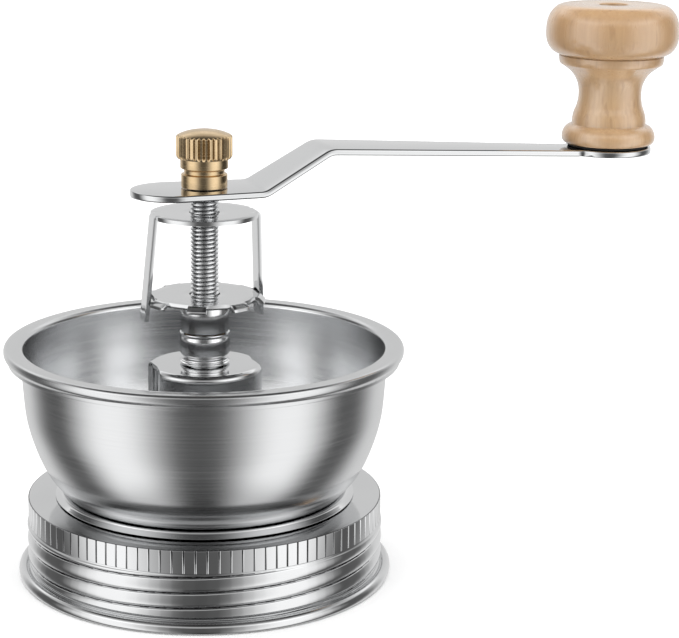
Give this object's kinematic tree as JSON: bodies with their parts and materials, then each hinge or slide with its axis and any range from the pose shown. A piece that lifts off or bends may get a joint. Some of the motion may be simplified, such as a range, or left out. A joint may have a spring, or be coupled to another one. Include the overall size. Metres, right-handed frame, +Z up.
{
  "type": "hand crank coffee grinder",
  "caption": "Hand crank burr grinder with a steel hopper bowl on a jar screw band, a notched adjusting wheel with lock clip, a cranked arm and a turned wooden knob.",
  "frame": {"origin": "centre of the screw band's lower rim, on the axis of the drive shaft", "axes": "+Z up along the drive shaft, +X along the crank arm at rest, +Y to its left seen from the shaft"},
  "size_m": [0.1743, 0.0988, 0.14],
  "materials": {
    "polished_steel": "polished stainless steel",
    "satin_steel": "satin stainless steel",
    "brass": "satin brass",
    "bronze": "sintered bronze",
    "ceramic": "matt white ceramic",
    "silicone": "matt translucent white silicone",
    "nylon": "matt black glass-filled nylon",
    "black_fibre": "matt black fibre",
    "beech": "semi-gloss lacquered pale wood"
  },
  "bodies": {
    "housing": {"screw_band": "polished_steel", "lid_gasket": "silicone", "bowl_foot": "polished_steel", "hopper_bowl": "satin_steel", "bearing_bridge": "polished_steel", "bearing_barrel": "polished_steel", "bearing_bush": "bronze", "thrust_washer": "bronze", "burr_carrier": "nylon", "outer_burr": "ceramic", "burr_spring": "satin_steel", "carrier_screw_1": "polished_steel", "carrier_screw_2": "polished_steel", "carrier_screw_3": "polished_steel", "carrier_screw_4": "polished_steel"},
    "adjuster": {"adjusting_wheel": "polished_steel", "adjuster_hub": "polished_steel"},
    "spindle": {"drive_shaft": "satin_steel", "crank_arm": "polished_steel", "cap_nut": "brass", "inner_burr": "ceramic", "burr_driver": "satin_steel", "spring_seat": "satin_steel", "burr_washer": "satin_steel", "burr_nut": "satin_steel", "knob_washer": "black_fibre", "knob_pin": "polished_steel"},
    "clip": {"lock_clip": "polished_steel"},
    "knob": {"wooden_knob": "beech"}
  },
  "joints": [
    {"name": "crank_spin", "type": "hinge", "parent": "housing", "child": "adjuster", "pos_m": [0, 0, 0.0655], "axis": [0, 0, 1], "continuous": true},
    {"name": "grind_adjust", "type": "slide", "parent": "adjuster", "child": "spindle", "axis": [0, 0, 1], "range_m": [0, 0.002], "deforming": ["burr_spring"]},
    {"name": "clip_lift", "type": "slide", "parent": "spindle", "child": "clip", "axis": [0, 0, 1], "range_m": [0, 0.0038]},
    {"name": "knob_spin", "type": "hinge", "parent": "spindle", "child": "knob", "pos_m": [0.1079, 0, 0.122], "axis": [0, 0, 1], "continuous": true}
  ]
}
